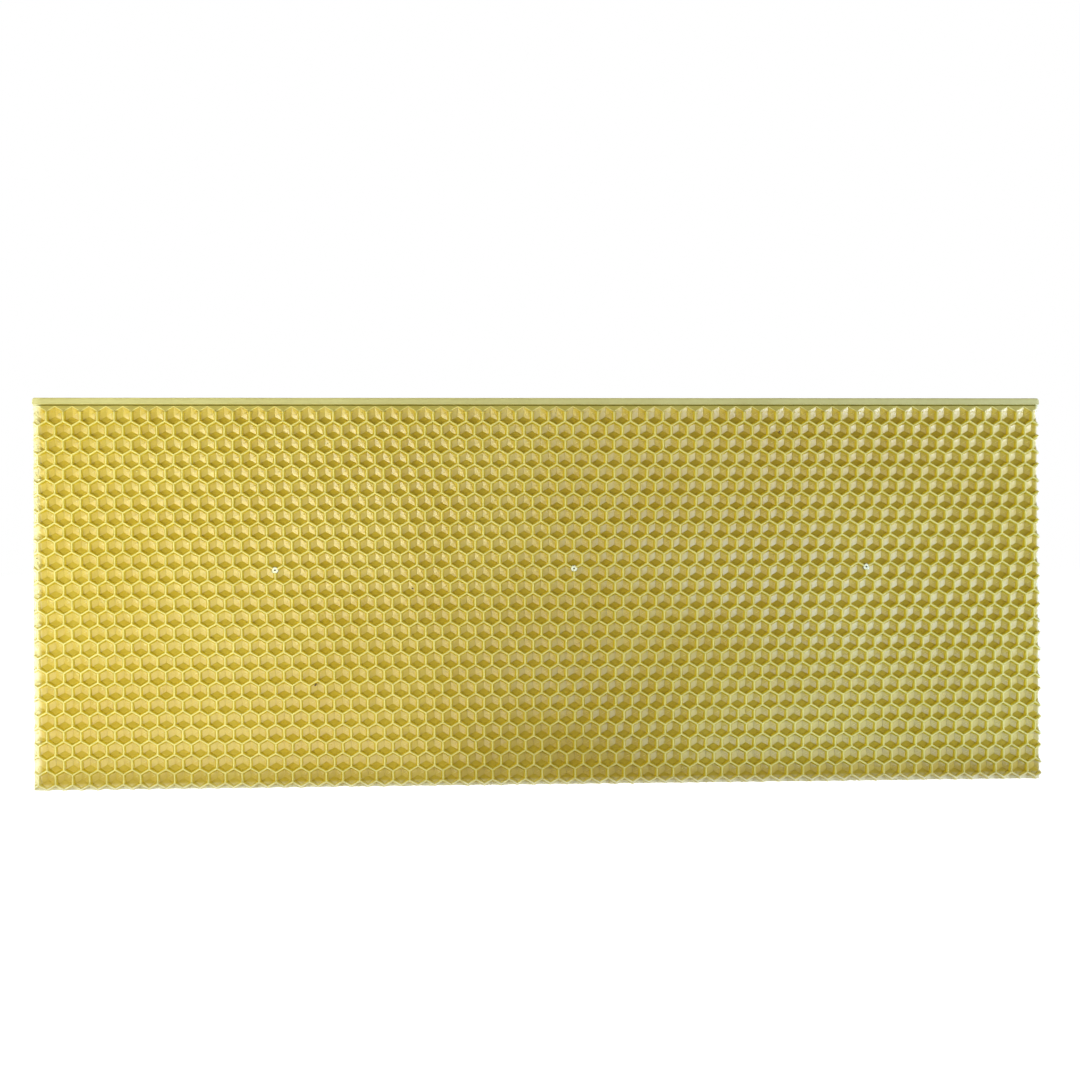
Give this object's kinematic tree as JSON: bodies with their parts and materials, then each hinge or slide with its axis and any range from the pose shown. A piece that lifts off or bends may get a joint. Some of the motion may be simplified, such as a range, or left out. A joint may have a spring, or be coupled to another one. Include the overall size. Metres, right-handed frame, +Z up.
{
  "type": "comb foundation sheet",
  "caption": "Thin moulded sheet with a shallow honeycomb on both faces and a rail along the top, which slides into a hive frame for bees to build comb on.",
  "frame": {"origin": "middle of the top face of the rail, where the sheet meets the groove of a frame's top bar", "axes": "+Z up towards the rail, X along the sheet's width, Y through its thickness, with the front face towards -Y"},
  "size_m": [0.3304, 0.0042, 0.127],
  "materials": {
    "moulding": "semi-gloss yellow plastic under a thin film of beeswax",
    "rail": "satin pale yellow plastic",
    "gate": "matt, stress-whitened plastic",
    "wax": "satin beeswax"
  },
  "bodies": {
    "root": {"midrib": "moulding", "front_cell_walls": "moulding", "rear_cell_walls": "moulding", "top_rail": "rail", "front_margin": "moulding", "rear_margin": "moulding", "gate_stubs": "gate", "front_wax_coat": "wax", "rear_wax_coat": "wax"}
  },
  "joints": []
}
